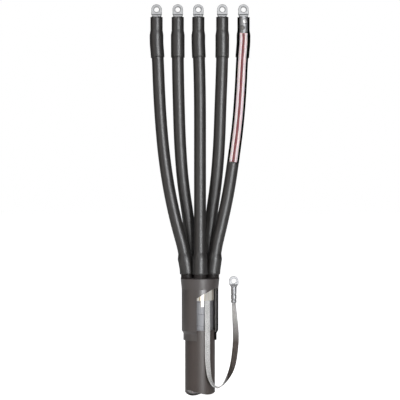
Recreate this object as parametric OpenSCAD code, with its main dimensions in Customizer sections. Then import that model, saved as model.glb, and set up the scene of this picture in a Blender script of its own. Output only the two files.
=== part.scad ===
// Heat-shrink termination of a five-core armoured low-voltage cable, cut open to show its inside.
// Lengths are in millimetres. +Z runs up the cable, and the front, where the windows are, faces -Y.

/* [Cable] */
// Diameter of the bare conductor
conductor_d = 11.4; // [8:0.2:11.8]
// Diameter of an insulated core
core_d = 14.6; // [13.4:0.2:15.6]
// Gap between neighbouring cores in the cable
core_gap = 0.6; // [0.4:0.1:1.4]
// Thickness of the bedding outside the cores
bedding_cover = 1.8; // [1.2:0.1:2.6]
// Thickness of the steel tape armour
armour_wall = 1.4; // [0.8:0.1:1.8]
// Thickness of the outer sheath
sheath_wall = 3.3; // [2.2:0.1:4.2]
// Clearance between two layers that sit on each other
fit = 0.1; // [0.05:0.01:0.15]

/* [Cable end] */
// Cable left below the boot, up to the arch of the sawn end
tail_h = 91; // [60:1:160]
// Radius of the arched saw cut
end_cut_r = 45; // [34:1:90]
// Direction in which the sawn end dips, seen from above
end_cut_turn = -60; // [-90:5:90]
// Lean of the saw cut towards the back
end_cut_lean = 8.5; // [0:0.5:12]

/* [Breakout boot] */
// Height of the boot from its lower rim to its shoulder
boot_h = 112; // [100:1:130]
// Thickness of the palm's wall
palm_wall = 4; // [3:0.2:5]
// Space between the armour and the palm's inside
palm_room = 5.5; // [4.6:0.1:7]
// Height of the flared top of the palm
flare_h = 21; // [14:1:28]
// How far the flared top stands out from the palm
flare_out = 2; // [0.6:0.1:2.4]
// Thickness of the shoulder between palm and fingers
shoulder_wall = 6; // [4.5:0.5:8]
// Radius of the shoulder's outer edge
shoulder_round = 1.6; // [0.8:0.2:2.4]
// Height of the collar that grips the sheath
collar_h = 12; // [8:1:20]
// Thickness of the collar
collar_wall = 3; // [2:0.2:3.6]
// Height of the cone between collar and palm
taper_h = 5; // [4:0.5:10]
// Radius of the circle of finger roots
finger_ring_r = 24; // [23:0.2:25]
// Outside diameter of a finger
finger_d = 22.8; // [20:0.2:23.2]
// Length of a finger along its core
finger_len = 34; // [26:1:40]

/* [Boot window] */
// Distance of the window's left edge from the cable's axis
window_left = 5.9; // [2:0.1:12]
// Distance of the window's flat face in front of the cable's axis
window_face = 8; // [4:0.5:12]
// Height of the window's left edge below the shoulder
window_drop = 35.7; // [30:0.1:50]
// Rise of the window's slanted top
window_rise = 16.4; // [6:0.1:20]
// Width over which the top slants
window_slant = 29.5; // [20:0.5:34]

/* [Core legs] */
// Height of the lug holes above the boot's shoulder
leg_h = 482; // [440:1:560]
// Distance between neighbouring lugs
lug_pitch = 38; // [34:1:42]
// Outside diameter of a core tube
tube_d = 21.6; // [20:0.2:22]
// Wall of the tube where it is stretched over the finger
flare_wall = 1.8; // [1:0.1:2]
// Gap between the boot's shoulder and the tube's lower end
tube_lift = 6; // [4:1:20]
// Length of the tube's cone above the finger
tube_cone = 9; // [6:1:14]
// Bend radius of the core where it leaves the finger
leg_bend_r = 100; // [80:5:140]
// Bend radius of a core where the cable spreads inside the boot
spread_r = 24; // [22:0.5:30]

/* [Lug] */
// Diameter of the bolt hole
hole_d = 9; // [8.4:0.2:10.5]
// Chamfer of the bolt hole
hole_chamfer = 1; // [0.4:0.1:1.2]
// Width of the palm
palm_w = 18.8; // [17.6:0.2:21]
// Thickness of the palm
palm_t = 5; // [4:0.2:6]
// Distance of the palm's front face behind the barrel's axis
palm_back = 0.6; // [0:0.1:1.4]
// Height from the hole down to the barrel's shoulder
lug_neck = 11; // [10:0.2:13]
// Width of the shoulder block
neck_w = 16.6; // [15.6:0.2:18]
// Height of the shoulder block
neck_h = 3; // [2:0.5:5]
// Depth from the hole to the barrel's open end
barrel_end = 42; // [38:1:50]
// Outside diameter of the barrel
barrel_d = 15.2; // [14.8:0.1:15.6]
// Diameter of a sheared bolt stub
bolt_d = 8; // [6:0.2:8.6]
// Distance of the upper bolt below the hole
bolt_drop = 22.3; // [20:0.1:25]
// Distance between the two bolts
bolt_pitch = 11.7; // [9.6:0.1:13]
// Turn of each bolt out of the middle
bolt_turn = 20; // [0:1:28]

/* [Cuff] */
// Gap between the lug's shoulder and the cuff's top
cuff_lift = 0.2; // [0.1:0.1:3]
// Length of the cuff
cuff_len = 72.4; // [60:0.2:90]
// Outside diameter round the barrel
cuff_top_d = 22; // [20.8:0.2:23]
// Wall of the cuff over the core tube
cuff_wall = 1.4; // [1:0.1:2]
// Depth from the hole to the tube's upper end
tube_top = 46; // [44:1:50]
// Length of the cuff's step down onto the barrel
cuff_step = 8; // [5:1:12]

/* [Leg window] */
// Depth from the lug's hole to the lower end of the opened leg's window
leg_window_end = 276; // [180:1:330]
// Distance of the leg window's face in front of the core's axis
leg_window_face = 2; // [0:0.5:4]

/* [Earth connection] */
// Width of the roll spring
spring_w = 20; // [14:1:24]
// Thickness of the spring's turns together
spring_t = 1.4; // [0.8:0.1:1.8]
// Thickness of the spring's last turn
spring_leaf = 0.5; // [0.3:0.1:0.8]
// Width of the spring's tail
tail_w = 5.4; // [3:0.2:8]
// Length of the spring's tail below the turns
tail_drop = 10.7; // [4:0.5:14]
// Width of the braid
braid_w = 11; // [8:0.5:12]
// Thickness of the braid
braid_t = 1.6; // [1.2:0.1:2]
// Diameter of the earth lug's bolt hole
earth_hole_d = 8.4; // [6.4:0.2:8.4]
// Width of the earth lug's palm
earth_palm_w = 16.8; // [15:0.2:19]
// Thickness of the earth lug's palm
earth_palm_t = 2.6; // [2:0.1:3.4]
// Outside diameter of the earth lug's barrel
earth_barrel_d = 9.8; // [9:0.1:11]
// Inside diameter of the earth lug's barrel
earth_bore_d = 7.2; // [6.8:0.1:7.6]
// Length of the earth lug's barrel
earth_barrel_h = 28; // [22:1:34]
// Distance from the earth lug's hole to its barrel
earth_neck = 10.5; // [9.5:0.5:14]
// Radius of the crimp grooves
crimp_r = 1.8; // [1.2:0.1:2.4]
// Depth of the crimp grooves
crimp_depth = 0.7; // [0.3:0.1:0.9]

/* [Hidden] */
$fn = 64;
cores = 5;
core_angle = 360 / cores;
// Overrun that carries every cut past the face it opens
over = fit * 10;
// Every second step of a swept piece is this share of full size and reaches this far into its neighbours,
// so that the steps overlap and join into one solid; a turned piece stands proud where it joins a swept one
slim_share = 0.997;
proud_share = 1.004;
cut_share = 0.4;
lap = 5 * fit;

// Order of the legs round the cable, counted from the front, and their lugs' places in lug pitches
ring_places = [-1, -2, 0, 2, 1];
lug_shares = [-2.06, -1.055, -0.08, 1.055, 2.06];
// How each leg bends above its finger, as one or two swings, each in a plane of its own: its share of the sideways
// shift, its share of the shift in depth, then the height share and tilt share of its stops, no two alike in a row
leg_swing_shares = [
    [[1, 1, [[0, 0.65], [0.06, 1], [0.2, 0.79], [0.36, 0.55], [0.53, 0.33], [0.7, 0.2], [0.86, 0.12],
        [0.965, 0.32], [1, 0]]]],
    [[1, 1, [[0, 0.3], [0.12, 0.75], [0.24, 1], [0.4, 0.5], [0.6, 0.2], [0.8, 0.14], [1, 0]]]],
    [
        [0, 1, [[0, 0.5], [0.12, 1], [0.62, 0]]],
        [1, 0, [[0.62, 0], [0.84, 0.5], [0.95, 1], [1, 0]]],
    ],
    [[1, 1, [[0, 0.3], [0.12, 0.6], [0.24, 1], [0.4, 0.56], [0.6, 0.2], [0.8, 0.28], [1, 0]]]],
    [[1, 1, [[0, 0.6], [0.06, 1], [0.2, 0.9], [0.36, 0.62], [0.53, 0.53], [0.7, 0.3], [0.86, 0.18],
        [0.965, 0.4], [1, 0]]]],
];

// Radii of the cable's layers
core_ring_r = (core_d + core_gap) / (2 * sin(core_angle / 2));
bedding_r = core_ring_r + core_d / 2 + bedding_cover;
armour_r = bedding_r + fit + armour_wall;
sheath_in_r = armour_r + fit;
sheath_r = sheath_in_r + sheath_wall;
core_bore_r = core_d / 2 + fit;

// Radii of the boot and of what sits on its fingers
collar_in_r = sheath_r + fit;
collar_r = collar_in_r + collar_wall;
palm_in_r = armour_r + palm_room;
palm_r = palm_in_r + palm_wall;
shoulder_r = palm_r + flare_out;
finger_r = finger_d / 2;
tube_r = tube_d / 2;
tube_flare_in_r = finger_r + fit;
tube_flare_r = tube_flare_in_r + flare_wall;
cuff_in_r = tube_r + fit;
cuff_r = cuff_in_r + cuff_wall;
barrel_r = barrel_d / 2;
barrel_bore_r = conductor_d / 2 + 2 * fit;

// Heights, from the lug holes at zero down to the cable's end
shoulder_z = -leg_h;
boot_z = shoulder_z - boot_h;
taper_z = boot_z + collar_h;
palm_z = taper_z + taper_h;
ceiling_z = shoulder_z - shoulder_wall;
end_z = boot_z - tail_h;
stock_z = end_z - sheath_r;
root_rise = finger_d / 6;
spread_top_z = shoulder_z + root_rise;
spread_tilt = acos(1 - (finger_ring_r - core_ring_r) / (2 * spread_r));
spread_z = spread_top_z - 2 * spread_r * sin(spread_tilt);
bedding_z = spread_z - over;
armour_z = spread_z + core_d / 2;
sheath_z = palm_z + over;
spring_z = armour_z - over - spring_w;
neck_z = -tube_top - cuff_step;

// Route of the braid from the cable's axis: x, y, z, then how far its width is turned out of the depth,
// and its width share
braid_route = [
    [13.3, -20.4, -500],
    [13.3, -20.4, -512],
    [13.3, -20.4, -524],
    [13.3, -21.0, -536],
    [13.3, -22.0, -548],
    [13.3, -23.2, -560],
    [13.3, -24.5, -571],
    [13.3, -24.6, -584],
    [13.3, -24.6, -600],
    [13.4, -24.8, -616],
    [13.8, -25.2, -630],
    [14.9, -25.8, -645],
    [17, -26.4, -658],
    [20.8, -26.8, -668],
    [26, -27.0, -674.5],
    [32.5, -27.0, -676.5],
    [39.2, -26.8, -673],
    [45, -26.4, -666],
    [50.4, -26.0, -657],
    [54.6, -25.6, -648],
    [57.6, -25.2, -639],
    [60, -24.8, -628],
    [62.2, -24.4, -612],
    [63.6, -24.0, -596],
    [63.7, -24.0, -580],
    [62.8, -24.0, -564],
    [61.6, -24.0, -548],
    [60.6, -24.0, -536],
    [60.2, -24.0, -526],
    [60.1, -24.0, -516],
    [60.1, -24.0, -506],
];
braid_twists = [
    57, 57, 57, 58, 59, 60, 61, 61, 61, 60, 57, 50, 38, 24, 12, 2,
    -10, -24, -40, -55, -68, -78, -86, -90, -90, -90, -90, -90, -90, -90, -90,
];
braid_width_shares = [
    1, 1, 1, 1, 1, 1, 1, 1, 1, 1, 1, 1, 1, 1, 1, 1,
    1, 1, 1, 1, 1, 1, 1, 1, 0.98, 0.92, 0.84, 0.74, 0.6, 0.56, 0.56,
];

// A leg's path is a list of steps: [bend in degrees, or 0 for straight; radius or length; turn of the bending plane]
function lug_x(leg) = lug_shares[leg] * lug_pitch;
function ring_turn(leg) = ring_places[leg] * core_angle - 90;
function root_point(leg) = finger_ring_r * [cos(ring_turn(leg)), sin(ring_turn(leg))];
function leg_shift(leg) = [lug_x(leg), 0] - root_point(leg);
function swing_shift(leg, swing) = [leg_shift(leg)[0] * swing[0], leg_shift(leg)[1] * swing[1]];
function swing_turn(leg, swing) = atan2(swing_shift(leg, swing)[1], swing_shift(leg, swing)[0]);
function leg_turn(leg) = swing_turn(leg, leg_swing_shares[leg][0]);

// The core leans out in an arc, stays straight up to the end of the tube's cone, and bends above it
curve_h = neck_z - spread_top_z;
finger_path = finger_len - root_rise + tube_cone + 2 * over;
function finger_straight(tilt) = finger_path - leg_bend_r * tilt * PI / 180;
function finger_shift(tilt) = leg_bend_r * (1 - cos(tilt)) + finger_straight(tilt) * sin(tilt);
function bends_h(tilt) = curve_h - leg_bend_r * sin(tilt) - finger_straight(tilt) * cos(tilt);
function stops_shift(stops, tilt, height, k) =
    k == 0 ? 0 :
    height * (stops[k][0] - stops[k - 1][0]) * tan(tilt * (stops[k][1] + stops[k - 1][1]) / 2)
    + stops_shift(stops, tilt, height, k - 1);
function upper_shift(stops, tilt, height) = stops_shift(stops, tilt, height, len(stops) - 1);
function whole_shift(stops, tilt) =
    let (root_tilt = tilt * stops[0][1])
    finger_shift(root_tilt) + upper_shift(stops, tilt, bends_h(root_tilt));

// Greatest tilt of a swing, found by halving the range it lies in
function solved_tilt(shift_at, shift, low, high, rounds) =
    let (middle = (low + high) / 2)
    rounds == 0 ? middle :
    shift_at(middle) > shift ? solved_tilt(shift_at, shift, low, middle, rounds - 1) :
    solved_tilt(shift_at, shift, middle, high, rounds - 1);
function tilt_for(shift_at, shift) = solved_tilt(shift_at, norm(shift), 0.5, 30, 40);

function swing_steps(stops, tilt, height, turn) = [
    for (k = [1:len(stops) - 1])
        let (low = tilt * stops[k - 1][1])
        let (high = tilt * stops[k][1])
        let (rise = height * (stops[k][0] - stops[k - 1][0]))
        [high - low, rise / abs(sin(high) - sin(low)), k == 1 ? turn : 0]
];
function upper_steps(leg, swing, height, turn) =
    let (tilt = tilt_for(function (tilt) upper_shift(swing[2], tilt, height), swing_shift(leg, swing)))
    swing_steps(swing[2], tilt, height, turn);

function leg_path(leg) =
    let (swings = leg_swing_shares[leg])
    let (stops = swings[0][2])
    let (turn = leg_turn(leg))
    let (tilt = tilt_for(function (tilt) whole_shift(stops, tilt), swing_shift(leg, swings[0])))
    let (root_tilt = tilt * stops[0][1])
    let (height = bends_h(root_tilt))
    [
        [0, spread_z - stock_z, 0],
        [spread_tilt, spread_r, 0],
        [-spread_tilt, spread_r, 0],
        [root_tilt, leg_bend_r, turn - ring_turn(leg)],
        [0, finger_straight(root_tilt), 0],
        each swing_steps(stops, tilt, height, 0),
        for (k = [1:1:len(swings) - 1])
            each upper_steps(leg, swings[k], height, swing_turn(leg, swings[k]) - turn),
        [0, -neck_z, 0],
    ];
leg_paths = [for (leg = [0:cores - 1]) leg_path(leg)];

function run_of(step) = step[0] == 0 ? step[1] : abs(step[0]) * PI / 180 * step[1];
function run_to(path, count) = count == 0 ? 0 : run_of(path[count - 1]) + run_to(path, count - 1);
function full_run(leg) = run_to(leg_paths[leg], len(leg_paths[leg]));

// Stations along a leg's path: up from the finger's root, or down from the lug's hole
function above_root(leg, rise) = run_to(leg_paths[leg], 3) - root_rise + rise;
function below_hole(leg, drop) = full_run(leg) - drop;

// Carries its children past one step of a path
module past(bend, size) {
    if (bend == 0) {
        translate([0, 0, size]) children();
    } else {
        side = sign(bend);
        translate([side * size * (1 - cos(bend)), 0, size * sin(abs(bend))])
            rotate([0, bend, 0])
                children();
    }
}

// One straight or curved stretch of a section, from one share of the step to another
module step_solid(bend, size, low_share, high_share) {
    side = sign(bend);
    if (bend == 0)
        translate([0, 0, size * low_share]) linear_extrude(size * (high_share - low_share)) children();
    else
        translate([side * size, 0, 0])
            rotate([90, 0, side > 0 ? 180 : 0])
                rotate([0, 0, abs(bend) * low_share])
                    rotate_extrude(angle = abs(bend) * (high_share - low_share))
                        translate([size, 0])
                            mirror(side > 0 ? [1, 0] : [0, 1])
                                children();
}

// Sweeps a flat section along a path, between two stations; a cut's steps have some spare length, so that their
// ends don't lie in the ends of the steps they cut
module sweep(path, from, to, spare = 0, index = 0) {
    if (index < len(path)) {
        bend = path[index][0];
        size = path[index][1];
        run = run_of(path[index]);
        slim = index % 2 == 1;
        low = from < 0 ? (slim ? -lap : 0) - spare : from;
        high = to > run ? run + (slim ? lap : 0) + spare : to;
        rotate([0, 0, path[index][2]]) {
            if (from < run && to > 0)
                step_solid(bend, size, low / run, high / run) scale(slim ? slim_share : 1) children();
            if (to > run)
                past(bend, size) sweep(path, from - run, to - run, spare, index + 1) children();
        }
    }
}

// Puts its children at one station of a path
module at_station(path, station, index = 0) {
    bend = path[index][0];
    size = path[index][1];
    run = run_of(path[index]);
    rotate([0, 0, path[index][2]]) {
        if (station > run && index < len(path) - 1)
            past(bend, size) at_station(path, station - run, index + 1) children();
        else
            past(bend * station / run, bend == 0 ? station : size) children();
    }
}

// Moves from the cable's axis to the part's frame, whose origin is the middle of the middle lug's hole
module in_frame() {
    translate([-lug_x(2), -palm_back - palm_t / 2, 0]) children();
}

// Puts its children at the foot of a leg's path, in the cable's end
module on_leg(leg) {
    in_frame()
        rotate([0, 0, ring_turn(leg)])
            translate([core_ring_r, 0, stock_z])
                children();
}

module sweep_leg(leg, from, to, spare = 0) {
    on_leg(leg) sweep(leg_paths[leg], from, to, spare) children();
}

module at_leg(leg, station) {
    on_leg(leg) at_station(leg_paths[leg], station) children();
}

// Moves to a lug's hole
module at_lug(leg) {
    in_frame() translate([lug_x(leg), 0, 0]) children();
}

module ring(outer, inner) {
    difference() {
        circle(outer);
        circle(inner);
    }
}

module pipe(outer, inner, low, high) {
    translate([0, 0, low]) linear_extrude(high - low) ring(outer, inner);
}

// The saw cut across the cable: a lying cylinder whose top is the arch of the sawn end
module end_cut() {
    in_frame()
        translate([0, 0, end_z])
            rotate([-end_cut_lean, 0, 0])
                rotate([0, 0, end_cut_turn])
                    translate([0, 0, -end_cut_r])
                        rotate([90, 0, 0])
                            cylinder(r = end_cut_r, h = 4 * sheath_r, center = true);
}

// What the leg's window takes away from a section, seen along the leg
module window_section(leg) {
    reach = 2 * cuff_r;
    rotate(-leg_turn(leg))
        translate([-reach, -leg_window_face - reach])
            square([2 * reach, reach]);
}

module leg_window(leg, spare = 0) {
    sweep_leg(leg, below_hole(leg, leg_window_end), below_hole(leg, lug_neck), spare) window_section(leg);
}

// Cable
module outer_sheath() {
    color("#33302f")
        difference() {
            in_frame() pipe(sheath_r, sheath_in_r, stock_z, sheath_z);
            end_cut();
        }
}

module armour_tape() {
    color("#9a9aa2")
        difference() {
            in_frame() pipe(armour_r, bedding_r + fit, stock_z, armour_z);
            end_cut();
        }
}

module bedding() {
    color("#6f6c6a")
        difference() {
            in_frame() translate([0, 0, stock_z]) cylinder(r = bedding_r, h = bedding_z - stock_z);
            for (leg = [0:cores - 1])
                sweep_leg(leg, -over, spread_z - stock_z) circle(core_bore_r);
            end_cut();
        }
}

// The insulation is stripped just below the lug's barrel
module insulation(leg) {
    color("#ece0df")
        difference() {
            sweep_leg(leg, 0, below_hole(leg, barrel_end + over)) ring(core_d / 2, conductor_d / 2 + fit / 2);
            end_cut();
        }
}

module conductor(leg) {
    color("#b9bcc0")
        difference() {
            sweep_leg(leg, 0, below_hole(leg, conductor_top)) circle(conductor_d / 2);
            end_cut();
            at_lug(leg) bolt_holes();
        }
}

// Lug
bore_top = lug_neck + neck_h;
conductor_top = bore_top + over;
bolt_r = bolt_d / 2;
// The stubs are sheared so low that their rims end at the barrel's surface
stub_top = sqrt(barrel_r * barrel_r - bolt_r * bolt_r);
stub_foot = stub_top - bolt_r / 2;

// Puts its children at both bolts, with their +Z pointing out of the barrel
module at_bolts() {
    for (bolt = [0, 1])
        translate([0, 0, -bolt_drop - bolt * bolt_pitch])
            rotate([0, 0, bolt == 0 ? bolt_turn : -bolt_turn])
                rotate([90, 0, 0])
                    children();
}

module bolt_holes() {
    at_bolts() translate([0, 0, stub_foot]) cylinder(r = bolt_r + fit / 2, h = barrel_r);
}

// Side view of the lug's head, drawn with x towards the back and y up
module lug_side() {
    front = palm_back;
    back = palm_back + palm_t;
    top = palm_w;
    foot = -lug_neck - neck_h;
    difference() {
        polygon([
            [front, top],
            [back, top],
            [back, -lug_neck + palm_t / 2],
            [barrel_r, -lug_neck],
            [barrel_r, foot],
            [-barrel_r, foot],
            [-barrel_r, -lug_neck],
            [front, -lug_neck],
        ]);
        translate([front, top]) square(top);
    }
    // Fillet between the palm's front face and the shoulder
    difference() {
        translate([front - palm_t / 2, -lug_neck]) square(palm_t / 2);
        translate([front - palm_t / 2, -lug_neck + palm_t / 2]) circle(palm_t / 2);
    }
}

// Front view of the lug's head
module lug_front() {
    foot = -lug_neck - neck_h;
    circle(palm_w / 2);
    polygon([
        [-palm_w / 2, 0],
        [-palm_w / 2, -lug_neck + palm_t / 2],
        [-neck_w / 2, -lug_neck],
        [-neck_w / 2, -lug_neck - neck_h / 2],
        [-barrel_r, foot],
        [barrel_r, foot],
        [neck_w / 2, -lug_neck - neck_h / 2],
        [neck_w / 2, -lug_neck],
        [palm_w / 2, -lug_neck + palm_t / 2],
        [palm_w / 2, 0],
    ]);
}

module lug_hole() {
    front = palm_back;
    back = palm_back + palm_t;
    wide_r = hole_d / 2 + hole_chamfer;
    rotate([-90, 0, 0]) {
        translate([0, 0, front - over]) cylinder(r = hole_d / 2, h = palm_t + 2 * over);
        translate([0, 0, front]) cylinder(r1 = wide_r, r2 = hole_d / 2, h = hole_chamfer);
        translate([0, 0, back - hole_chamfer]) cylinder(r1 = hole_d / 2, r2 = wide_r, h = hole_chamfer);
    }
}

module lug(leg) {
    color("#c9ccd0")
        at_lug(leg)
            difference() {
                union() {
                    intersection() {
                        rotate([90, 0, 90])
                            translate([0, 0, -palm_w])
                                linear_extrude(2 * palm_w) lug_side();
                        rotate([90, 0, 0])
                            translate([0, 0, -palm_w])
                                linear_extrude(2 * palm_w) lug_front();
                    }
                    translate([0, 0, -barrel_end])
                        cylinder(r = barrel_r, h = barrel_end - lug_neck - neck_h);
                }
                lug_hole();
                translate([0, 0, -barrel_end - over])
                    cylinder(r = barrel_bore_r, h = barrel_end + over - bore_top);
                bolt_holes();
            }
}

// Two sheared stubs, each with the torn neck left in its middle
module shear_bolts(leg) {
    nib_r = bolt_r / 2;
    color("#a7a9ab")
        at_lug(leg)
            at_bolts() {
                translate([0, 0, stub_foot]) cylinder(r = bolt_r, h = stub_top - stub_foot);
                translate([0, 0, stub_top]) cylinder(r1 = nib_r, r2 = nib_r * 0.8, h = fit * 6);
            }
}

// Sleeves
module core_tube(leg, opened) {
    low = above_root(leg, tube_lift);
    cone = above_root(leg, finger_len + over);
    high = below_hole(leg, tube_top);
    bore_r = core_bore_r;
    color("#34312f")
        difference() {
            union() {
                sweep_leg(leg, low, cone) ring(tube_flare_r, tube_flare_in_r);
                at_leg(leg, cone)
                    rotate_extrude()
                        scale([proud_share, 1])
                            polygon([
                                [tube_flare_in_r, -lap],
                                [tube_flare_in_r, 0],
                                [bore_r, tube_cone],
                                [bore_r, tube_cone + lap],
                                [tube_r, tube_cone + lap],
                                [tube_r, tube_cone],
                                [tube_flare_r, 0],
                                [tube_flare_r, -lap],
                            ]);
                sweep_leg(leg, cone + tube_cone, high) ring(tube_r, bore_r);
            }
            if (opened)
                leg_window(leg);
        }
}

module lug_cuff(leg, opened) {
    top = lug_neck + neck_h + cuff_lift;
    step_low = tube_top + fit;
    step_high = step_low - cuff_step;
    reach = 2 * cuff_r;
    color("#2f2c2b") {
        difference() {
            at_lug(leg)
                rotate_extrude()
                    polygon([
                        [barrel_r + fit, -top],
                        [barrel_r + fit, -step_high],
                        [cuff_in_r * proud_share, -step_low],
                        [cuff_in_r * proud_share, neck_z - 2 * lap],
                        [cuff_r * proud_share, neck_z - 2 * lap],
                        [cuff_r * proud_share, -step_low],
                        [cuff_top_d / 2, -step_high],
                        [cuff_top_d / 2, -top],
                    ]);
            if (opened)
                at_lug(leg)
                    translate([-reach, fit - leg_window_face - reach, neck_z - reach])
                        cube([2 * reach, reach, reach - neck_z]);
        }
        difference() {
            sweep_leg(leg, below_hole(leg, top + cuff_len), below_hole(leg, -neck_z)) ring(cuff_r, cuff_in_r);
            if (opened)
                leg_window(leg, cut_share * lap);
        }
    }
}

// Boot
module boot_profile() {
    difference() {
        polygon([
            [0, ceiling_z],
            [palm_in_r, ceiling_z],
            [palm_in_r, palm_z],
            [collar_in_r, taper_z],
            [collar_in_r, boot_z],
            [collar_r, boot_z],
            [collar_r, taper_z],
            [palm_r, palm_z],
            [palm_r, shoulder_z - flare_h],
            [shoulder_r, shoulder_z - shoulder_round],
            [shoulder_r, shoulder_z],
            [0, shoulder_z],
        ]);
        translate([shoulder_r - shoulder_round, shoulder_z - shoulder_round]) square(shoulder_round + over);
    }
    translate([shoulder_r - shoulder_round, shoulder_z - shoulder_round]) circle(shoulder_round);
}

// The window seen from the front, cut from its face forwards
module boot_window() {
    left = -window_left;
    low = shoulder_z - window_drop;
    right = 2 * shoulder_r;
    in_frame()
        translate([0, -window_face, 0])
            rotate([90, 0, 0])
                linear_extrude(shoulder_r)
                    polygon([
                        [left, boot_z - over],
                        [left, low],
                        [left + window_slant, low + window_rise],
                        [right, low + window_rise],
                        [right, boot_z - over],
                    ]);
}

module breakout_boot() {
    color("#3a3634")
        difference() {
            union() {
                in_frame() rotate_extrude() boot_profile();
                for (leg = [0:cores - 1])
                    sweep_leg(leg, above_root(leg, -shoulder_wall / 2), above_root(leg, finger_len))
                        circle(finger_r);
            }
            for (leg = [0:cores - 1])
                sweep_leg(leg, spread_z - stock_z, above_root(leg, finger_len + over))
                    circle(core_bore_r);
            boot_window();
        }
}

// Earth connection
// Turn round the cable, from the front towards the right, where the braid lies on the armour
braid_turn = asin(braid_route[0][0] / (armour_r + fit + braid_t / 2));
spring_in_r = armour_r + fit;
spring_r = spring_in_r + spring_t;
braid_back = armour_r + fit;

module facing(turn) {
    rotate([0, 0, turn]) children();
}

module spring_section() {
    pad_w = braid_w + 2 * spring_t + 2 * fit;
    slot_w = braid_w + 2 * fit;
    difference() {
        union() {
            circle(spring_r);
            facing(braid_turn)
                translate([-pad_w / 2, -braid_back - braid_t - fit - spring_t])
                    square([pad_w, braid_t + fit + spring_t]);
        }
        circle(spring_in_r);
        facing(braid_turn)
            translate([-slot_w / 2, -braid_back - braid_t - fit])
                square([slot_w, braid_t + fit + spring_t]);
    }
}

// The last turn starts at the narrow tail and runs to the right round the back
module roll_spring() {
    tail_turn = asin(2 * fit * 8 / spring_r);
    tail_angle = 2 * asin(tail_w / 2 / spring_r);
    last_angle = 300;
    color("#e4dfd2")
        in_frame() {
            translate([0, 0, spring_z]) linear_extrude(spring_w) spring_section();
            translate([0, 0, spring_z - tail_drop])
                rotate([0, 0, tail_turn - 90])
                    rotate_extrude(angle = tail_angle)
                        translate([spring_r - spring_leaf, 0])
                            square([spring_leaf, tail_drop + over]);
        }
}

function unit(v) = v / norm(v);
function along(k) = unit(braid_route[min(k + 1, len(braid_route) - 1)] - braid_route[max(k - 1, 0)]);
function depth_dir(k) = unit([0, 1, 0] - along(k)[1] * along(k));
function width_dir(k) =
    let (twist = braid_twists[k])
    cos(twist) * depth_dir(k) + sin(twist) * cross(along(k), depth_dir(k));
// Where the braid is gathered narrower, it gets thicker
function braid_ring(k) =
    let (wide = width_dir(k))
    let (thick = cross(along(k), wide))
    let (half_w = braid_w / 2 * braid_width_shares[k])
    let (half_t = braid_t / 2 * min(1 / braid_width_shares[k], 1.6))
    let (corner = half_t * 0.6)
    [for (p = [
        [half_w, half_t - corner],
        [half_w - corner, half_t],
        [corner - half_w, half_t],
        [-half_w, half_t - corner],
        [-half_w, corner - half_t],
        [corner - half_w, -half_t],
        [half_w - corner, -half_t],
        [half_w, corner - half_t],
    ]) braid_route[k] + p[0] * wide + p[1] * thick];

module earth_braid() {
    sides = 8;
    rings = len(braid_route);
    points = [for (k = [0:rings - 1]) each braid_ring(k)];
    walls = [for (k = [0:rings - 2]) for (j = [0:sides - 1])
        let (next = (j + 1) % sides)
        each [
            [k * sides + j, k * sides + next, (k + 1) * sides + next],
            [k * sides + j, (k + 1) * sides + next, (k + 1) * sides + j],
        ]];
    first = [for (j = [1:sides - 2]) [0, j + 1, j]];
    last = (rings - 1) * sides;
    end = [for (j = [1:sides - 2]) [last, last + j, last + j + 1]];
    color("#b8b6b2") in_frame() polyhedron(points = points, faces = concat(walls, first, end));
}

module earth_lug() {
    neck = earth_neck;
    half_t = earth_palm_t / 2;
    barrel = earth_barrel_d / 2;
    last = braid_route[len(braid_route) - 1];
    crimp_z = [0.48, 0.82];
    color("#d3d5d6")
        in_frame() translate([last[0], last[1], last[2] + earth_barrel_h * 0.3 + neck])
            difference() {
                union() {
                    intersection() {
                        rotate([90, 0, 90])
                            translate([0, 0, -earth_palm_w])
                                linear_extrude(2 * earth_palm_w)
                                    polygon([
                                        [-half_t, earth_palm_w],
                                        [half_t, earth_palm_w],
                                        [half_t, -neck + barrel],
                                        [barrel, -neck],
                                        [-barrel, -neck],
                                        [-half_t, -neck + barrel],
                                    ]);
                        rotate([90, 0, 0])
                            translate([0, 0, -earth_palm_w])
                                linear_extrude(2 * earth_palm_w) {
                                    circle(earth_palm_w / 2);
                                    polygon([
                                        [-earth_palm_w / 2, 0],
                                        [-earth_palm_w / 2, -neck + barrel],
                                        [-barrel, -neck],
                                        [barrel, -neck],
                                        [earth_palm_w / 2, -neck + barrel],
                                        [earth_palm_w / 2, 0],
                                    ]);
                                }
                    }
                    translate([0, 0, -neck - earth_barrel_h]) cylinder(r = barrel, h = earth_barrel_h);
                }
                rotate([90, 0, 0]) cylinder(d = earth_hole_d, h = earth_palm_w, center = true);
                translate([0, 0, -neck - earth_barrel_h - over])
                    cylinder(d = earth_bore_d, h = earth_barrel_h * 0.75 + over);
                for (share = crimp_z)
                    translate([0, 0, -neck - earth_barrel_h * share])
                        rotate_extrude()
                            translate([barrel + crimp_r - crimp_depth, 0]) circle(crimp_r);
            }
}

outer_sheath();
armour_tape();
bedding();
conductor(0);  // conductor_1
conductor(1);  // conductor_2
conductor(2);  // conductor_3
conductor(3);  // conductor_4
conductor(4);  // conductor_5
insulation(0);  // insulation_1
insulation(1);  // insulation_2
insulation(2);  // insulation_3
insulation(3);  // insulation_4
insulation(4);  // insulation_5
breakout_boot();
core_tube(0, false);  // core_tube_1
core_tube(1, false);  // core_tube_2
core_tube(2, false);  // core_tube_3
core_tube(3, false);  // core_tube_4
core_tube(4, true);  // core_tube_5
lug_cuff(0, false);  // lug_cuff_1
lug_cuff(1, false);  // lug_cuff_2
lug_cuff(2, false);  // lug_cuff_3
lug_cuff(3, false);  // lug_cuff_4
lug_cuff(4, true);  // lug_cuff_5
lug(0);  // lug_1
lug(1);  // lug_2
lug(2);  // lug_3
lug(3);  // lug_4
lug(4);  // lug_5
shear_bolts(0);  // shear_bolts_1
shear_bolts(1);  // shear_bolts_2
shear_bolts(2);  // shear_bolts_3
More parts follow.
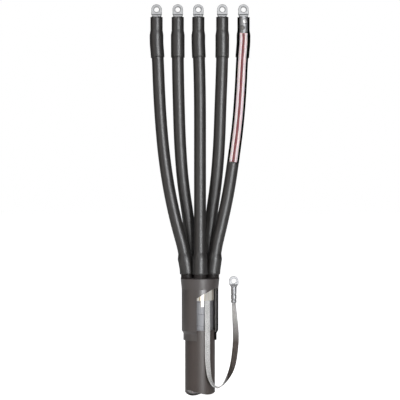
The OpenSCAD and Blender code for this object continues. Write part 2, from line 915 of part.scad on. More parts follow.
shear_bolts(3);  // shear_bolts_4
shear_bolts(4);  // shear_bolts_5
roll_spring();
earth_braid();
earth_lug();
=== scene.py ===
# Looks of the cable termination: materials, woven earth braid, printed stripe, torn bolts, camera and lights.
from math import cos, pi, radians, sin

import bpy
import numpy as np
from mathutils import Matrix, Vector


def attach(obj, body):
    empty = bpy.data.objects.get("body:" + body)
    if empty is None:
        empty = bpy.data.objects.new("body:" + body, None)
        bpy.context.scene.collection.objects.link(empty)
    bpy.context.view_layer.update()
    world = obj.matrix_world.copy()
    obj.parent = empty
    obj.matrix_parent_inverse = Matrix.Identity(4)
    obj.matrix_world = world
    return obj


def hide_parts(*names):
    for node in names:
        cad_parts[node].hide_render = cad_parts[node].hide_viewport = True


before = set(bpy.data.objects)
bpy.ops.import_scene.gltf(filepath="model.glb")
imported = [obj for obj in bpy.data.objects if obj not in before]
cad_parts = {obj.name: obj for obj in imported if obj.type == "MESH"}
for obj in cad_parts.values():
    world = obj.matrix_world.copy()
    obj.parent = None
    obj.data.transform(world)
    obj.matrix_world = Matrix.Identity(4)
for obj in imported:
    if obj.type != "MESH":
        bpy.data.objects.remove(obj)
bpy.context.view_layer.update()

# Lengths are in metres. The cable's axis, and the axis of the opened leg's lug, which has the same y:
AXIS_X, AXIS_Y = 0.00304, -0.0031
LEG_5_X = 0.08132

# Cut faces of the windows lie behind this y and right of this x
SLEEVE_CUT_Y, SLEEVE_CUT_X = -0.0085, 0.05
BOOT_CUT_Y, BOOT_CUT_X = -0.0125, 0.02
CUT_TONE = (0.004, 0.004, 0.004)

# Heights and radii that divide the boot's looks
SHOULDER_Z, PAINTED_LIGHT_TOP_Z, COLLAR_TOP_Z = -0.4845, -0.492, -0.579
# Radii inside which the boot's inner wall and cut face get painted light
PAINTED_LIGHT_R, PAINTED_LIGHT_CUT_R = 0.0293, 0.0301

# Height of the painted shade at the lug's step below the palm
LUG_STEP_SHADE_Z = -0.0091
FLOOR_Z = -0.7005


# ---- Camera, level with the middle of the picture
camera = bpy.data.objects.new("camera", bpy.data.cameras.new("camera"))
bpy.context.scene.collection.objects.link(camera)
camera.location = (0.003, -2.3031, -0.343)
camera.rotation_euler = (pi / 2, 0, 0)
camera.data.lens = 115
camera.data.sensor_width = 36
camera.data.clip_end = 50
bpy.context.scene.camera = camera


# ---- Shader helpers
class Shader:
    """A principled material whose texture nodes are added by short calls."""

    def __init__(self, name):
        self.mat = bpy.data.materials.new(name)
        self.mat.use_nodes = True
        self.tree = self.mat.node_tree
        self.bsdf = next(n for n in self.tree.nodes if n.type == "BSDF_PRINCIPLED")
        self.coord = self.tree.nodes.new("ShaderNodeTexCoord")
        self.height = None

    def node(self, kind, **inputs):
        n = self.tree.nodes.new(kind)
        for key, value in inputs.items():
            if hasattr(n, key):
                setattr(n, key, value)
            else:
                n.inputs[key.replace("_", " ")].default_value = value
        return n

    def feed(self, socket, value):
        """Set a socket to a number or a colour, or link another node's output to it."""
        if isinstance(value, (int, float)):
            socket.default_value = value
        elif isinstance(value, tuple):
            socket.default_value = (*value, 1)
        else:
            self.tree.links.new(value, socket)

    def set(self, **values):
        for key, value in values.items():
            self.bsdf.inputs[key.replace("_", " ")].default_value = value
        return self

    def source(self, name):
        """What one input of the material gets now: an output or a number."""
        socket = self.bsdf.inputs[name]
        return socket.links[0].from_socket if socket.links else socket.default_value

    def place(self, stretch=(1, 1, 1), shift=(0, 0, 0)):
        m = self.node("ShaderNodeMapping")
        m.inputs["Location"].default_value = shift
        m.inputs["Scale"].default_value = stretch
        self.feed(m.inputs["Vector"], self.coord.outputs["Object"])
        return m.outputs[0]

    def axes(self, vector=None):
        """x, y and z of a vector, or else of the place on the object."""
        parts = self.node("ShaderNodeSeparateXYZ")
        self.feed(parts.inputs[0], vector or self.coord.outputs["Object"])
        return list(parts.outputs)

    def noise(self, scale, detail=4, rough=0.5, stretch=(1, 1, 1), shift=(0, 0, 0), warp=0):
        n = self.node("ShaderNodeTexNoise", Scale=scale, Detail=detail, Roughness=rough, Distortion=warp)
        self.feed(n.inputs["Vector"], self.place(stretch, shift))
        return n.outputs["Fac"]

    def cells(self, scale, randomness, stretch=(1, 1, 1)):
        n = self.node("ShaderNodeTexVoronoi", Scale=scale, Randomness=randomness)
        self.feed(n.inputs["Vector"], self.place(stretch))
        return n.outputs["Distance"]

    def ramp(self, fac, *stops):
        r = self.node("ShaderNodeValToRGB")
        band = r.color_ramp
        while len(band.elements) < len(stops):
            band.elements.new(0.5)
        for element, (place, tone) in zip(band.elements, stops):
            element.position = place
            rgb = tone if isinstance(tone, tuple) else (tone, tone, tone)
            element.color = (*rgb, 1)
        self.feed(r.inputs[0], fac)
        return r.outputs[0]

    def mix(self, fac, a, b):
        m = self.node("ShaderNodeMix", data_type="RGBA")
        for k, value in ((0, fac), (6, a), (7, b)):
            self.feed(m.inputs[k], value)
        return m.outputs[2]

    def math(self, kind, a, b=0.0):
        m = self.node("ShaderNodeMath", operation=kind)
        self.feed(m.inputs[0], a)
        self.feed(m.inputs[1], b)
        return m.outputs[0]

    def both(self, a, b):
        return self.math("MULTIPLY", a, b)

    def color(self, output):
        self.feed(self.bsdf.inputs["Base Color"], output)
        return self

    def rough(self, fac, low, high):
        r = self.node("ShaderNodeMapRange")
        r.inputs["To Min"].default_value = low
        r.inputs["To Max"].default_value = high
        self.feed(r.inputs["Value"], fac)
        self.feed(self.bsdf.inputs["Roughness"], r.outputs[0])
        return self

    def bevel(self, radius, samples):
        """The normal with every edge rounded."""
        return self.node("ShaderNodeBevel", samples=samples, Radius=radius).outputs[0]

    def bump(self, fac, depth, strength=1.0):
        """Later calls lie on top of earlier ones."""
        b = self.node("ShaderNodeBump", Strength=strength, Distance=depth)
        self.feed(b.inputs["Height"], fac)
        if self.height is not None:
            self.feed(b.inputs["Normal"], self.height)
        self.height = b.outputs[0]
        self.feed(self.bsdf.inputs["Normal"], self.height)
        return self

    def dull(self, mask, tone):
        """Another colour without any sheen, where the mask is 1."""
        for name, value in (("Base Color", tone), ("Roughness", (0.85, 0.85, 0.85))):
            self.feed(self.bsdf.inputs[name], self.mix(mask, self.source(name), value))
        for name in ("Specular IOR Level", "Coat Weight"):
            level = self.both(self.math("SUBTRACT", 1.0, mask), self.source(name))
            self.feed(self.bsdf.inputs[name], level)
        return self

    def cut_face(self, depth, side, tone):
        """Dull the flat faces that are cut towards the front, behind one y and right of one x."""
        facing = self.axes(self.node("ShaderNodeNewGeometry").outputs["True Normal"])[1]
        x, y, _ = self.axes()
        mask = self.both(self.math("LESS_THAN", facing, -0.97), self.math("GREATER_THAN", y, depth))
        return self.dull(self.both(mask, self.math("GREATER_THAN", x, side)), tone)


def dress(names, shader):
    for name in names:
        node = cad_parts[name]
        for slot in node.material_slots:
            slot.material = shader.mat
        if not len(node.material_slots):
            node.data.materials.append(shader.mat)


def legs(name):
    return [f"{name}_{k}" for k in range(1, 6)]


def darker(tone, share):
    return tuple(v * share for v in tone)


def heat_shrink(name, dark, light, seed, low, high, edge=0.0):
    """Recovered polyolefin: soft waves from the flame, a fine skin, faint draw lines and a little dust."""
    s = Shader(name).set(Specular_IOR_Level=1.0)
    if edge:
        s.height = s.bevel(edge, 6)
    cloud = s.noise(38, 5, 0.6, shift=(seed, 0, 0))
    skin = s.noise(1400, 3, 0.6, shift=(0, seed, 0))
    lines = s.noise(420, 3, 0.5, stretch=(1, 1, 0.03), shift=(0, 0, seed))
    dust = s.cells(900, 1.0)
    base = s.ramp(cloud, (0.25, dark), (0.75, light))
    base = s.mix(s.ramp(lines, (0.45, 0.0), (0.75, 0.22)), base, darker(light, 1.5))
    base = s.mix(s.ramp(dust, (0.0, 0.3), (0.09, 0.0)), base, (0.16, 0.155, 0.15))
    s.color(base).rough(s.mix(0.5, cloud, skin), low, high)
    return s.bump(cloud, 0.0006, 0.5).bump(lines, 0.00008, 0.45).bump(skin, 0.00003, 0.5)


def metal(name, tone, stain, low, high, grain=(1, 1, 1), seed=0.0, edge=0.0):
    """Bare or tinned metal: cloudy stain, fine scratches and, where asked, round edges with painted shade
    along them.
    """
    s = Shader(name).set(Metallic=1.0)
    cloud = s.noise(90, 6, 0.65, shift=(seed, seed, 0), warp=0.4)
    scratch = s.noise(2600, 4, 0.6, stretch=grain, shift=(0, seed, seed))
    base = s.ramp(cloud, (0.3, stain), (0.62, tone))
    base = s.mix(s.ramp(scratch, (0.35, 0.35), (0.6, 0.0)), base, stain)
    if edge:
        s.height = s.bevel(edge, 8)
        flat = s.node("ShaderNodeVectorMath", operation="DOT_PRODUCT")
        s.feed(flat.inputs[0], s.bevel(edge * 1.9, 8))
        s.feed(flat.inputs[1], s.node("ShaderNodeNewGeometry").outputs["Normal"])
        # painted shade: the colour darkens where the rounded edge turns away, drawn as a dark outline
        painted_edge_shade = s.ramp(flat.outputs["Value"], (0.86, 0.85), (0.99, 0.0))
        base = s.mix(painted_edge_shade, base, darker(stain, 0.3))
    s.color(base).rough(s.mix(0.6, cloud, scratch), low, high)
    return s.bump(cloud, 0.0001, 0.35).bump(scratch, 0.00003, 0.5)


# ---- Materials of the CAD nodes
def sleeve_look(name, dark, light, seed):
    s = heat_shrink(name, dark, light, seed, 0.32, 0.44, edge=0.005)
    return s.cut_face(SLEEVE_CUT_Y, SLEEVE_CUT_X, CUT_TONE)


def boot_look():
    """The moulded boot, painted light grey on its inner wall and cut face, and painted shade in the gap
    between flares and shoulder.
    """
    s = heat_shrink("breakout_boot", (0.024, 0.014, 0.011), (0.034, 0.021, 0.017), 7.9, 0.3, 0.4)
    s.set(IOR=1.65, Coat_Weight=0.8, Coat_Roughness=0.32)
    x, y, z = s.axes(s.place(shift=(-AXIS_X, -AXIS_Y, 0)))
    square = s.math("ADD", s.both(x, x), s.both(y, y))
    # painted light: the inner wall in the window lies in shade, so it is painted light grey
    painted_light_wall = s.both(s.math("LESS_THAN", square, PAINTED_LIGHT_R ** 2), s.math("LESS_THAN", z, PAINTED_LIGHT_TOP_Z))
    painted_light_grey = s.ramp(s.noise(300), (0.3, (0.46, 0.45, 0.44)), (0.7, (0.58, 0.57, 0.56)))
    s.color(s.mix(painted_light_wall, s.source("Base Color"), painted_light_grey))
    # painted light: a lighter grey on the inner part of the window's cut face
    strip = s.both(s.math("LESS_THAN", square, PAINTED_LIGHT_CUT_R ** 2), s.math("GREATER_THAN", z, COLLAR_TOP_Z))
    s.cut_face(BOOT_CUT_Y, BOOT_CUT_X, s.mix(strip, CUT_TONE, (0.26, 0.255, 0.25)))
    # painted shade: a near-black band without sheen just above the shoulder, in the gap under the flares
    above = s.both(s.math("ADD", z, -SHOULDER_Z), 50)
    return s.dull(s.ramp(above, (0.0, 0.0), (0.04, 0.75), (0.4, 0.75), (0.6, 0.0)), (0.006, 0.005, 0.005))


def sheath_look():
    s = Shader("outer_sheath").set(Specular_IOR_Level=1.0, Coat_Weight=0.2, Coat_Roughness=0.4)
    cloud = s.noise(30, 5, 0.6)
    scuff = s.noise(700, 4, 0.6, stretch=(1, 1, 0.02))
    skin = s.noise(2200, 2, 0.5)
    base = s.ramp(cloud, (0.3, (0.038, 0.025, 0.020)), (0.7, (0.054, 0.037, 0.030)))
    base = s.mix(s.ramp(scuff, (0.55, 0.0), (0.8, 0.45)), base, (0.075, 0.060, 0.052))
    s.color(base).rough(scuff, 0.36, 0.5)
    return s.bump(cloud, 0.0003, 0.3).bump(scuff, 0.00006, 0.6).bump(skin, 0.00003, 0.4)


def bedding_look():
    s = Shader("bedding")
    fibre = s.noise(1500, 4, 0.7)
    s.color(s.ramp(fibre, (0.3, (0.44, 0.43, 0.42)), (0.7, (0.58, 0.57, 0.56))))
    return s.rough(fibre, 0.6, 0.8).bump(fibre, 0.0001, 0.7)


def armour_look():
    """Galvanised tape, whose laps run round the cable as one long screw thread."""
    s = Shader("armour_tape").set(Metallic=0.85)
    spin = s.node("ShaderNodeTexGradient", gradient_type="RADIAL")
    s.feed(spin.inputs[0], s.place(shift=(-AXIS_X, -AXIS_Y, 0)))
    laps_per_metre = 48
    turns = s.math("ADD", s.both(s.axes()[2], laps_per_metre), spin.outputs[1])
    thread = s.math("FRACT", turns)
    spangle = s.cells(260, 1.0, stretch=(1, 1, 0.6))
    lap = s.ramp(thread, (0.0, 0.0), (0.03, 0.9), (0.1, 0.7), (1.0, 0.66))
    tone = s.mix(s.ramp(spangle, (0.2, 0.0), (0.8, 0.5)), (0.35, 0.35, 0.36), (0.45, 0.45, 0.48))
    s.color(s.mix(s.ramp(thread, (0.0, 0.75), (0.035, 0.0)), tone, (0.08, 0.075, 0.07)))
    return s.rough(spangle, 0.56, 0.72).bump(lap, 0.0006, 0.8).bump(s.noise(1800, 3), 0.00003, 0.5)


def conductor_look():
    """Strands show on the sawn faces, and the saw left its own lines."""
    s = Shader("conductor").set(Metallic=0.9)
    strand = s.cells(440, 0.25, stretch=(1, 1, 0.0))
    saw = s.noise(1200, 3, 0.6, stretch=(0.12, 1, 1))
    s.color(s.mix(s.ramp(strand, (0.42, 0.0), (0.56, 0.85)), (0.62, 0.63, 0.65), (0.12, 0.12, 0.125)))
    return s.rough(saw, 0.35, 0.6).bump(saw, 0.00008, 0.6)


def insulation_look():
    s = Shader("insulation")
    s.set(Specular_IOR_Level=0.5, Subsurface_Weight=0.12, Subsurface_Scale=0.002)
    smear = s.noise(120, 4, 0.6, stretch=(1, 1, 0.1))
    lines = s.noise(900, 3, 0.5, stretch=(1, 1, 0.03))
    s.color(s.ramp(smear, (0.3, (0.92, 0.73, 0.745)), (0.7, (0.98, 0.86, 0.87))))
    return s.rough(smear, 0.32, 0.46).bump(lines, 0.00004, 0.5)


def stripe_look():
    s = Shader("stripe")
    streak = s.noise(500, 4, 0.6, stretch=(1, 1, 0.06))
    s.color(s.ramp(streak, (0.3, (0.13, 0.011, 0.016)), (0.72, (0.22, 0.023, 0.030))))
    return s.rough(streak, 0.35, 0.5).bump(streak, 0.00004, 0.5)


def lug_look():
    """A tinned lug with painted shade across it at the step below the palm."""
    s = metal("lug", (0.47, 0.47, 0.475), (0.40, 0.40, 0.405), 0.52, 0.62, grain=(1, 1, 0.25), edge=0.0012)
    millimetres_off = s.both(s.math("ABSOLUTE", s.math("ADD", s.axes()[2], -LUG_STEP_SHADE_Z)), 1000)
    # painted shade: a dark band at one height, where the step under the palm lies in shade
    painted_step_shade = s.ramp(millimetres_off, (0.55, 0.85), (0.95, 0.0))
    return s.color(s.mix(painted_step_shade, s.source("Base Color"), (0.09, 0.09, 0.092)))


def spring_look():
    """Rolled strip, warm where the light catches the rolling lines."""
    s = Shader("roll_spring").set(Metallic=0.65)
    streaks = s.noise(330, 3, 0.5, stretch=(1, 1, 0.015), shift=(5, 2, 0))
    s.color(s.ramp(streaks, (0.36, (0.50, 0.41, 0.27)), (0.47, (0.90, 0.85, 0.76)),
                   (0.7, (0.97, 0.95, 0.90))))
    return s.rough(streaks, 0.22, 0.4).bump(streaks, 0.00008, 0.5).bump(s.noise(2500, 3), 0.00002, 0.5)


dress(legs("core_tube"), sleeve_look("core_tube", (0.015, 0.0135, 0.0125), (0.025, 0.0225, 0.0215), 1.7))
dress(legs("lug_cuff"), sleeve_look("lug_cuff", (0.013, 0.0118, 0.011), (0.022, 0.020, 0.019), 4.2))
dress(["breakout_boot"], boot_look())
dress(["outer_sheath"], sheath_look())
dress(["bedding"], bedding_look())
dress(["armour_tape"], armour_look())
dress(legs("conductor"), conductor_look())
dress(legs("insulation"), insulation_look())
dress(legs("lug"), lug_look())
dress(["earth_lug"], metal("earth_lug", (0.47, 0.47, 0.48), (0.39, 0.39, 0.40), 0.4, 0.5,
                           grain=(1, 1, 0.2), seed=3.1, edge=0.0012))
dress(["roll_spring"], spring_look())
dress(legs("shear_bolts"), metal("shear_bolt", (0.62, 0.61, 0.59), (0.34, 0.33, 0.31), 0.35, 0.6, seed=6.4))


# ---- Meshes
def quads(first, rows, columns, closed):
    """Corners of the faces between the rows of a grid of points, whose rows may be closed rings."""
    for i in range(rows - 1):
        for c in range(columns if closed else columns - 1):
            here = first + i * columns + c
            beside = first + i * columns + (c + 1) % columns
            yield here, beside, beside + columns, here + columns


def mesh_piece(name, points, faces, shader, uvs=None):
    mesh = bpy.data.meshes.new(name)
    mesh.from_pydata([tuple(p) for p in points], [], faces)
    mesh.materials.append(shader.mat)
    if uvs is not None:
        layer = mesh.uv_layers.new(name="along")
        for loop in mesh.loops:
            layer.data[loop.index].uv = uvs[loop.vertex_index]
    mesh.polygons.foreach_set("use_smooth", [True] * len(mesh.polygons))
    mesh.update()
    piece = bpy.data.objects.new(name, mesh)
    bpy.context.scene.collection.objects.link(piece)
    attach(piece, "root")
    return piece


# ---- Earth braid: the route of part.scad, from the cable's axis, in millimetres
ROUTE = [
    (13.3, -20.4, -500), (13.3, -20.4, -512), (13.3, -20.4, -524), (13.3, -21.0, -536), (13.3, -22.0, -548),
    (13.3, -23.2, -560), (13.3, -24.5, -571), (13.3, -24.6, -584), (13.3, -24.6, -600), (13.4, -24.8, -616),
    (13.8, -25.2, -630), (14.9, -25.8, -645), (17.0, -26.4, -658), (20.8, -26.8, -668), (26.0, -27.0, -674.5),
    (32.5, -27.0, -676.5), (39.2, -26.8, -673), (45.0, -26.4, -666), (50.4, -26.0, -657), (54.6, -25.6, -648),
    (57.6, -25.2, -639), (60.0, -24.8, -628), (62.2, -24.4, -612), (63.6, -24.0, -596), (63.7, -24.0, -580),
    (62.8, -24.0, -564), (61.6, -24.0, -548), (60.6, -24.0, -536), (60.2, -24.0, -526), (60.1, -24.0, -516),
    (60.1, -24.0, -506),
]
# At each point, the turn of the braid in degrees and its share of the full width
TWISTS = [57, 57, 57, 58, 59, 60, 61, 61, 61, 60, 57, 50, 38, 24, 12, 2,
          -10, -24, -40, -55, -68, -78, -86, -90, -90, -90, -90, -90, -90, -90, -90]
WIDTH_SHARES = [1] * 24 + [0.98, 0.92, 0.84, 0.74, 0.6, 0.56, 0.56]
BRAID_W, BRAID_T = 0.011, 0.0016
route = np.array(ROUTE) / 1000 + np.array([AXIS_X, AXIS_Y, 0])


def unit(v):
    return v / np.linalg.norm(v, axis=-1, keepdims=True)


def smooth_rows(rows, steps):
    """Catmull-Rom through the rows, with the given number of steps between two."""
    rows = np.asarray(rows, float)
    if rows.ndim == 1:
        rows = rows[:, None]
    ends = np.vstack([2 * rows[0] - rows[1], rows, 2 * rows[-1] - rows[-2]])
    t = np.arange(steps)[:, None] / steps
    out = []
    for k in range(len(rows) - 1):
        a, b, c, d = ends[k:k + 4]
        out.append(0.5 * (2 * b + (c - a) * t + (2 * a - 5 * b + 4 * c - d) * t ** 2
                          + (3 * b - a - 3 * c + d) * t ** 3))
    return np.vstack(out + [rows[-1:]])


def braid_frames(steps):
    """Along the braid: places, directions of its width and thickness, width shares and length so far."""
    place = smooth_rows(route, steps)
    twist = np.radians(smooth_rows(TWISTS, steps))
    share = smooth_rows(WIDTH_SHARES, steps)
    along = unit(np.gradient(place, axis=0))
    depth = unit(np.array([0, 1, 0]) - along[:, 1:2] * along)
    wide = np.cos(twist) * depth + np.sin(twist) * np.cross(along, depth)
    run = np.concatenate([[0], np.cumsum(np.linalg.norm(np.diff(place, axis=0), axis=1))])
    return place, wide, np.cross(along, wide), share[:, 0], run


def stadium(u, width, thick):
    """Point and outward normal at share u of a flat round-edged outline, centred on zero."""
    flat = width - thick
    half = flat + pi * thick / 2
    s = (u % 1.0) * 2 * half
    side = np.where(s < half, 1.0, -1.0)
    s = np.where(s < half, s, s - half)
    turn = np.clip((s - flat) / (thick / 2), 0, pi)
    on_flat = s < flat
    x = np.where(on_flat, flat / 2 - s, -flat / 2 - np.sin(turn) * thick / 2)
    y = np.where(on_flat, thick / 2, np.cos(turn) * thick / 2)
    nx = np.where(on_flat, 0.0, -np.sin(turn))
    ny = np.where(on_flat, 1.0, np.cos(turn))
    return side * x, side * y, side * nx, side * ny


def weave():
    """Two sets of flat strands that cross over two and under two round a flattened tube."""
    strands, pitch, strand_w, strand_t = 10, 0.021, 0.0017, 0.00034
    # A strand's outline, in halves of its width and thickness
    corners = [(-1, 0), (-0.7, 1), (0, 1.25), (0.7, 1), (1, 0), (0.7, -1), (0, -1.1), (-0.7, -1)]
    sides = len(corners)
    place, wide, thick, share, run = braid_frames(22)
    rings = len(run)
    width = BRAID_W * share
    depth = BRAID_T * np.minimum(1 / share, 1.6)
    size = strand_w * (0.35 + 0.65 * share) / 2
    inset = 2.6 * strand_t
    crossings = 2 * strands * run / pitch
    points, faces, uvs = [], [], []
    for way in (1, -1):
        for k in range(strands):
            lift = way * np.cos(pi / 2 * (2 * k + way * crossings - 0.5)) * strand_t * 0.62
            x, y, nx, ny = stadium(k / strands + way * run / pitch, width - inset, depth - inset)
            out = nx[:, None] * wide + ny[:, None] * thick
            centre = place + x[:, None] * wide + y[:, None] * thick + out * lift[:, None]
            across = unit(np.cross(unit(np.gradient(centre, axis=0)), out))
            first = len(points)
            block = [centre + across * (a * size)[:, None] + out * b * strand_t / 2 for a, b in corners]
            points.extend(np.stack(block, axis=1).reshape(-1, 3))
            uvs.extend((run[i] * 100, a / 2 + 0.5) for i in range(rings) for a, _ in corners)
            faces.extend(quads(first, rings, sides, True))
            faces.append(tuple(first + c for c in reversed(range(sides))))
            faces.append(tuple(first + (rings - 1) * sides + c for c in range(sides)))
    return points, faces, uvs, place, run


def braid_look():
    """Tinned copper, with painted shade in brown on the lower part of the loop's far run."""
    shade_from_x, shade_from_z = 0.036, -0.548
    s = Shader("earth_braid").set(Metallic=0.45)
    wave = s.node("ShaderNodeTexWave", bands_direction="Y", Scale=0.95, Detail=2)
    s.feed(wave.inputs["Vector"], s.coord.outputs["UV"])
    wires = wave.outputs["Fac"]
    tarnish = s.noise(60, 5, 0.6)
    x, _, z = s.axes()
    # painted shade: brown on the far run, right of one x and below one z, where the braid turns away from the
    # lights
    beyond = s.both(s.math("SUBTRACT", x, shade_from_x), 60)
    under = s.both(s.math("SUBTRACT", shade_from_z, z), 16)
    painted_shade_mask = s.both(s.ramp(beyond, (0.0, 0.0), (1.0, 1.0)), s.ramp(under, (0.0, 0.42), (0.8, 1.0)))
    clean = s.ramp(tarnish, (0.35, (0.88, 0.87, 0.85)), (0.65, (0.97, 0.96, 0.95)))
    painted_shade_brown = s.ramp(tarnish, (0.35, (0.045, 0.032, 0.027)), (0.65, (0.09, 0.068, 0.060)))
    s.color(s.mix(s.ramp(wires, (0.2, 0.55), (0.6, 0.0)), s.mix(painted_shade_mask, clean, painted_shade_brown), (0.09, 0.08, 0.07)))
    return s.rough(tarnish, 0.34, 0.5).bump(wires, 0.00009, 0.9)


points, faces, uvs, place, run = weave()
braid = mesh_piece("woven_earth_braid", points, faces, braid_look(), uvs)
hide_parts("earth_braid")


# ---- Red marking stripe on the opened core, laid along the insulation's front
def core_centre(node, z):
    """Middle of a core at one height, found by looking at its outside from four sides."""
    def hit(start, way):
        found, at, _, _ = node.ray_cast(Vector(start), Vector(way))
        return at if found else None

    guesses = np.arange(0.02, 0.095, 0.004)
    x = next(guess for guess in guesses if hit((guess, -0.2, z), (0, 1, 0)) is not None)
    for _ in range(4):
        near, far = hit((x, -0.2, z), (0, 1, 0)), hit((x, 0.2, z), (0, -1, 0))
        y = (near.y + far.y) / 2
        left, right = hit((-0.1, y, z), (1, 0, 0)), hit((0.2, y, z), (-1, 0, 0))
        x = (left.x + right.x) / 2
    return Vector((x, y, z))


def core_stripe():
    """A band of nearly even width, a tenth of a millimetre above the core, with its edges let in."""
    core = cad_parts["insulation_5"]
    top, bottom, rows, columns = -0.0435, -0.286, 150, 9
    half, core_r, raised = 0.0027, 0.0073, 0.0001
    heights = np.linspace(top, bottom, rows)
    centres = np.array([core_centre(core, float(z)) for z in heights])
    spread = (heights - heights.mean()) / np.ptp(heights)
    fit_x, fit_y = (np.polyfit(spread, centres[:, k], 9) for k in (0, 1))
    points = []
    for s, z in zip(spread, heights):
        at = Vector((float(np.polyval(fit_x, s)), float(np.polyval(fit_y, s)), float(z)))
        width = half * (1 + 0.04 * sin(at.z * 230) + 0.02 * sin(at.z * 800))
        for c in range(columns):
            turn = width * (2 * c / (columns - 1) - 1) / core_r
            out = Vector((sin(turn), -cos(turn), 0))
            _, spot, _, _ = core.ray_cast(at + out * 0.03, -out)
            points.append(spot + out * (raised if 0 < c < columns - 1 else -raised))
    faces = list(quads(0, rows, columns, False))
    return mesh_piece("core_stripe", points, faces, stripe_look())


core_stripe()


# ---- Torn bolts of the opened leg
def torn_stub(name, turn, depth, rough, shader):
    """A sheared bolt's round face with its break, lying in the barrel's wall."""
    centre = Vector((LEG_5_X, AXIS_Y, -depth))
    out = Vector((sin(turn), -cos(turn), 0))
    across = Vector((cos(turn), sin(turn), 0))
    up = Vector((0, 0, 1))
    radius, low, top = 0.004, 0.0048, 0.00646
    nib = 0.0004 if rough < 0.5 else 0.0003
    rings, spokes = 14, 56
    random = np.random.default_rng(int(depth * 1e5))
    bumps = random.normal(0, 1, (rings, spokes))
    bumps = (bumps + np.roll(bumps, 1, 1) + np.roll(bumps, -1, 1) + np.roll(bumps, 1, 0)) / 3
    angles = [2 * pi * j / spokes for j in range(spokes)]
    points = []
    for i in range(rings):
        share = (i + 0.5) / rings
        at = radius * share
        torn = rough * max(0.0, 1 - (share / 0.86) ** 8)
        for j, a in enumerate(angles):
            rise = top - 0.00012 * share ** 6 + torn * 0.00016 * bumps[i, j]
            rise += nib * max(0.0, 1 - share / 0.5) ** 0.7
            points.append(centre + across * at * cos(a) + up * at * sin(a) + out * rise)
    for a in angles:
        points.append(centre + across * radius * cos(a) + up * radius * sin(a) + out * low)
    faces = [(a, d, c, b) for a, b, c, d in quads(0, rings + 1, spokes, True)]
    faces.append(tuple(range(spokes)))
    faces.append(tuple(rings * spokes + j for j in reversed(range(spokes))))
    return mesh_piece(name, points, faces, shader)


bright_break = metal("bright_break", (0.74, 0.73, 0.71), (0.56, 0.55, 0.53), 0.4, 0.5, seed=8.8)
dull_break = metal("dull_break", (0.40, 0.39, 0.37), (0.14, 0.135, 0.13), 0.45, 0.7, seed=2.2)
upper_stub = torn_stub("torn_bolt_upper", radians(20), 0.0223, 0.25, bright_break)
lower_stub = torn_stub("torn_bolt_lower", radians(-20), 0.034, 1.0, dull_break)
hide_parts("shear_bolts_5")
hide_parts("shear_bolts_5")


# ---- Floor, world and lights
def greatest(tree, outputs):
    best = outputs[0]
    for output in outputs[1:]:
        larger = tree.nodes.new("ShaderNodeMath")
        larger.operation = "MAXIMUM"
        tree.links.new(best, larger.inputs[0])
        tree.links.new(output, larger.inputs[1])
        best = larger.outputs[0]
    return best


def floor_look():
    """White to the camera and to glass, and to metal only in the part behind the object."""
    s = Shader("floor").set(Roughness=0.9, Emission_Color=(1, 1, 1, 1))
    s.color(s.ramp(s.noise(3), (0.4, 0.96), (0.6, 0.99)))
    rays = s.node("ShaderNodeLightPath").outputs
    x, y, _ = s.axes()
    aside = s.math("DIVIDE", s.math("ABSOLUTE", x), s.math("MAXIMUM", y, 0.01))
    behind = s.both(s.ramp(s.both(y, 0.1), (0.05, 0.0), (0.2, 1.0)),
                    s.ramp(aside, (0.1, 1.0), (0.25, 0.0)))
    mirrored = s.both(rays["Is Glossy Ray"], behind)
    shown = greatest(s.tree, [rays["Is Camera Ray"], rays["Is Transmission Ray"], mirrored])
    s.feed(s.bsdf.inputs["Emission Strength"], s.both(shown, 0.92))
    return s


floor_mesh = bpy.data.meshes.new("floor")
floor_mesh.from_pydata([(-30, -30, 0), (30, -30, 0), (30, 30, 0), (-30, 30, 0)], [], [(0, 1, 2, 3)])
floor = bpy.data.objects.new("floor", floor_mesh)
floor.location = (0, 0, FLOOR_Z)
bpy.context.scene.collection.objects.link(floor)
floor.data.materials.append(floor_look().mat)

# The background is white; metal sees it where it stands behind the object, and a dim studio elsewhere
world = bpy.data.worlds.new("studio")
bpy.context.scene.world = world
world.use_nodes = True
nodes, links = world.node_tree.nodes, world.node_tree.links
studio = nodes["Background"]
studio.inputs["Color"].default_value = (0.95, 0.97, 1.0, 1)
direction = nodes.new("ShaderNodeSeparateXYZ")
links.new(nodes.new("ShaderNodeTexCoord").outputs["Generated"], direction.inputs[0])


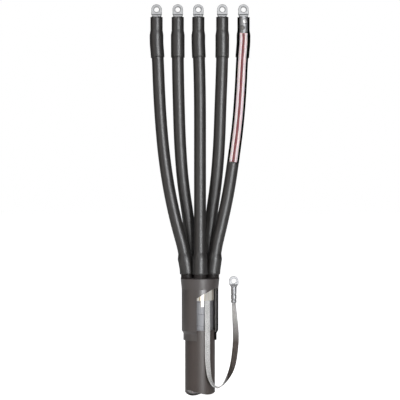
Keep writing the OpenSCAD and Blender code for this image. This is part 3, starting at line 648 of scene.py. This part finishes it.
def by_depth(*stops):
    """A level that changes from the front (-1) to the back (+1) of the studio."""
    spread = nodes.new("ShaderNodeMapRange")
    spread.inputs["From Min"].default_value = -1
    links.new(direction.outputs[1], spread.inputs["Value"])
    ramp = nodes.new("ShaderNodeValToRGB")
    while len(ramp.color_ramp.elements) < len(stops):
        ramp.color_ramp.elements.new(0.5)
    for element, (place, level) in zip(ramp.color_ramp.elements, stops):
        element.position = (place + 1) / 2
        element.color = (level, level, level, 1)
    links.new(spread.outputs[0], ramp.inputs[0])
    return ramp.outputs[0]


links.new(by_depth((-1, 0.46), (-0.8, 0.3), (-0.3, 0.08), (1, 0.05)), studio.inputs["Strength"])
white = nodes.new("ShaderNodeBackground")
white.inputs["Color"].default_value = (1, 1, 1, 1)
white.inputs["Strength"].default_value = 1.0
rays = nodes.new("ShaderNodeLightPath").outputs
mirrored = nodes.new("ShaderNodeMath")
mirrored.operation = "MULTIPLY"
links.new(rays["Is Glossy Ray"], mirrored.inputs[0])
links.new(by_depth((-1, 0), (0.97, 0), (0.995, 1), (1, 1)), mirrored.inputs[1])
white_rays = [rays["Is Camera Ray"], rays["Is Transmission Ray"], mirrored.outputs[0]]
pick = nodes.new("ShaderNodeMixShader")
links.new(greatest(world.node_tree, white_rays), pick.inputs[0])
links.new(studio.outputs[0], pick.inputs[1])
links.new(white.outputs[0], pick.inputs[2])
links.new(pick.outputs[0], nodes["World Output"].inputs[0])


def softbox(name, place, width, height, power, tint=(1, 1, 1)):
    """A rectangular lamp that faces the middle of the object."""
    data = bpy.data.lights.new(name, "AREA")
    data.shape = "RECTANGLE"
    data.size, data.size_y = width, height
    data.energy = power
    data.color = tint
    lamp = bpy.data.objects.new(name, data)
    lamp.location = place
    aim = Vector((0, 0, -0.33)) - Vector(place)
    lamp.rotation_euler = aim.to_track_quat("-Z", "Y").to_euler()
    bpy.context.scene.collection.objects.link(lamp)


softbox("key", (0.85, -2.5, -0.2), 0.9, 1.9, 54, (0.97, 0.985, 1.0))
softbox("fill_left", (-2.3, -1.6, 0.0), 1.6, 2.2, 5, (1.0, 0.88, 0.80))
softbox("top_left", (-1.2, -1.7, 2.1), 1.3, 1.3, 28, (1.0, 0.99, 0.98))
softbox("back", (0.0, 2.2, 2.2), 1.6, 1.6, 14)

scene = bpy.context.scene
scene.view_settings.view_transform = "Standard"
scene.view_settings.look = "None"
